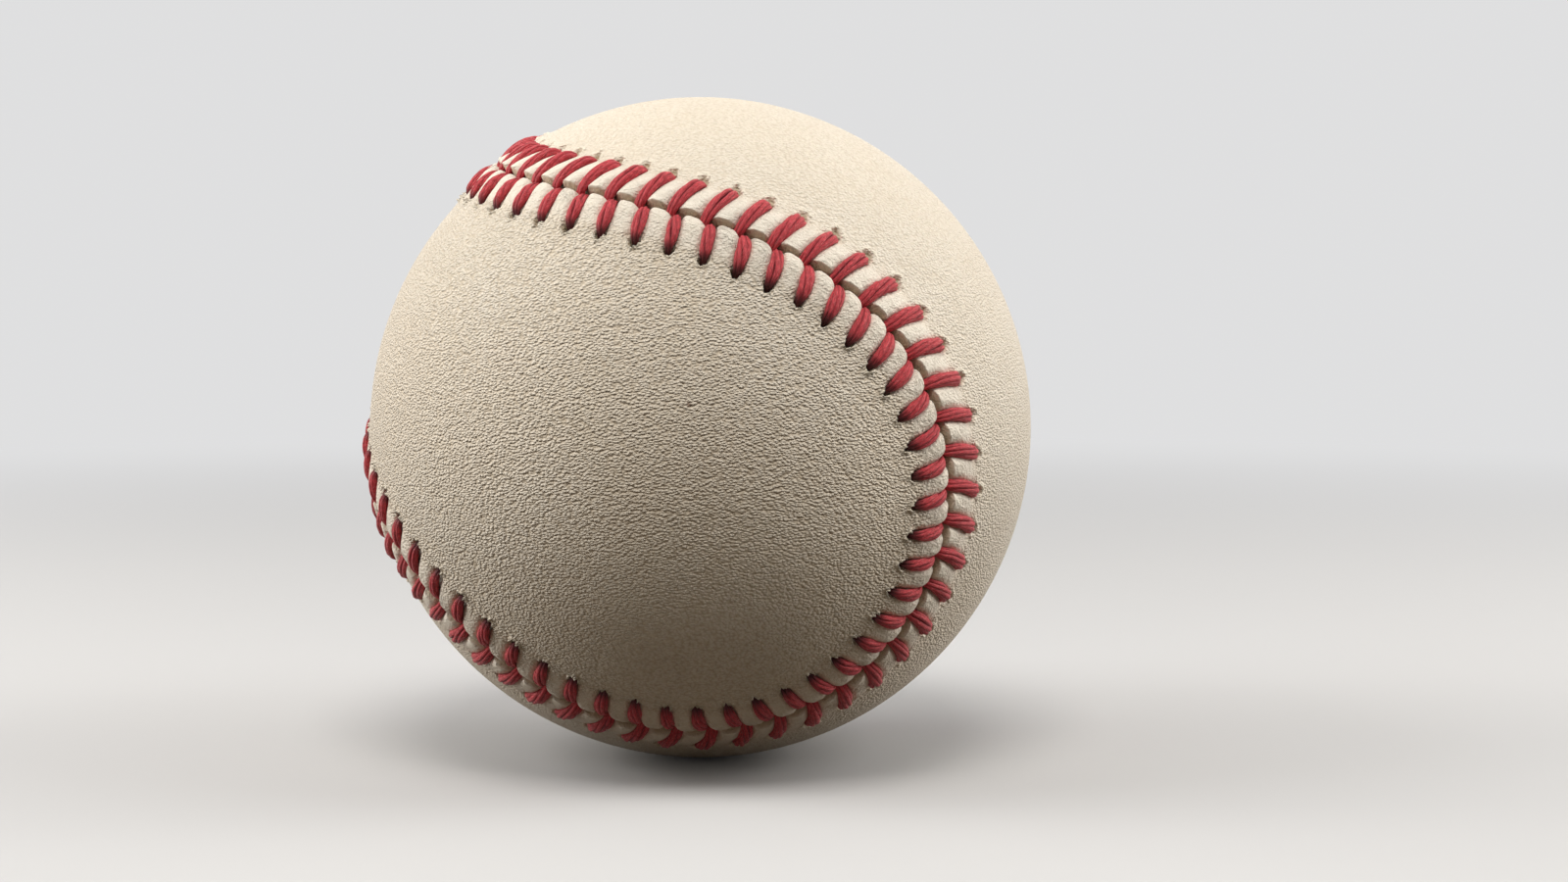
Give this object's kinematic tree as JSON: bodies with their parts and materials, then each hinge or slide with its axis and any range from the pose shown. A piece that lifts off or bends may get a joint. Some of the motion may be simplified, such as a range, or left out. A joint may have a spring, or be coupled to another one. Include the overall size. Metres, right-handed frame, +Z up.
{
  "type": "baseball",
  "caption": "Hard ball for bat and glove: rubber-covered cork pill, wound wool and yarn, and two figure-eight leather panels joined by raised red double stitching.",
  "frame": {"origin": "the middle of the ball, its centroid", "axes": "+Z up as the ball lies in its cradle or on a table, with -Z through the point it rests on; X and Y are the viewer's right and away from the viewer as the ball is shown, and the ball has no front of its own"},
  "size_m": [0.0753, 0.0734, 0.0734],
  "materials": {
    "cork": "granular pressed cork and rubber",
    "black_rubber": "matte moulded",
    "gasket_rubber": "matte",
    "red_rubber": "matte moulded",
    "grey_wool": "wound wool yarn",
    "white_wool": "wound wool yarn",
    "white_yarn": "fine wound cotton and polyester yarn",
    "cowhide": "pale, matte to satin, fine pebble grain",
    "waxed_thread": "waxed, twisted plies"
  },
  "bodies": {
    "root": {"cork_core": "cork", "black_shell_upper": "black_rubber", "black_shell_lower": "black_rubber", "gasket_upper": "gasket_rubber", "gasket_lower": "gasket_rubber", "red_shell_upper": "red_rubber", "red_shell_lower": "red_rubber", "inner_winding": "grey_wool", "middle_winding": "white_wool", "outer_winding": "grey_wool", "finish_winding": "white_yarn", "cover_panel_first": "cowhide", "cover_panel_second": "cowhide", "stitch_thread_first": "waxed_thread", "stitch_thread_second": "waxed_thread"}
  },
  "joints": []
}
